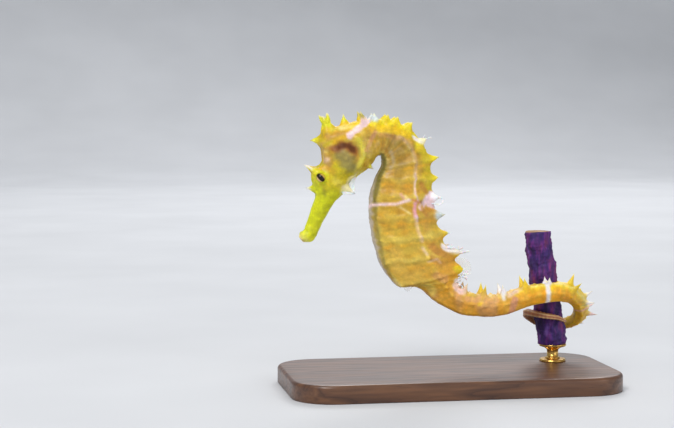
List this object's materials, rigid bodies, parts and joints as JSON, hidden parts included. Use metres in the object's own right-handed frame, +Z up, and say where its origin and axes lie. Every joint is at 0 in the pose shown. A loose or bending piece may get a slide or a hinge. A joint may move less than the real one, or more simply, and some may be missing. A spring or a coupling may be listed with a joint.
{
  "type": "seahorse",
  "caption": "Life-size thorny seahorse gripping a cut length of branch with its tail, upright on a small display stand",
  "frame": {"origin": "Middle of the display stand's underside.", "axes": "+X runs from the snout towards the gripping tail, +Y points to the animal's right side, and +Z is up. The animal's left side faces -Y."},
  "size_m": [0.074, 0.038, 0.0615],
  "materials": {
    "skin_yellow": "smooth, damp-looking yellow skin of the head and snout",
    "skin_ochre": "ringed golden ochre skin of the neck and trunk",
    "skin_orange": "ringed orange-yellow skin of the tail",
    "eye_dark": "glossy dark brown",
    "fin_clear": "thin pale yellow fin web with rays",
    "branch_bark": "rough purple and brown crust",
    "stand_brass": "satin brass",
    "stand_walnut": "dark oiled walnut"
  },
  "bodies": {
    "root": {"snout": "skin_yellow", "head": "skin_yellow", "neck": "skin_ochre", "trunk_upper": "skin_ochre", "trunk_lower": "skin_ochre", "tail_base": "skin_orange", "tail_middle": "skin_orange", "tail_grip_front": "skin_orange", "tail_grip_side": "skin_orange", "tail_grip_back": "skin_orange", "tail_tip": "skin_orange", "eye_left": "eye_dark", "eye_right": "eye_dark", "pectoral_fin_left": "fin_clear", "pectoral_fin_right": "fin_clear", "dorsal_fin": "fin_clear", "anal_fin": "fin_clear", "perch": "branch_bark", "stand_rod": "stand_brass", "stand_base": "stand_walnut"}
  },
  "joints": []
}
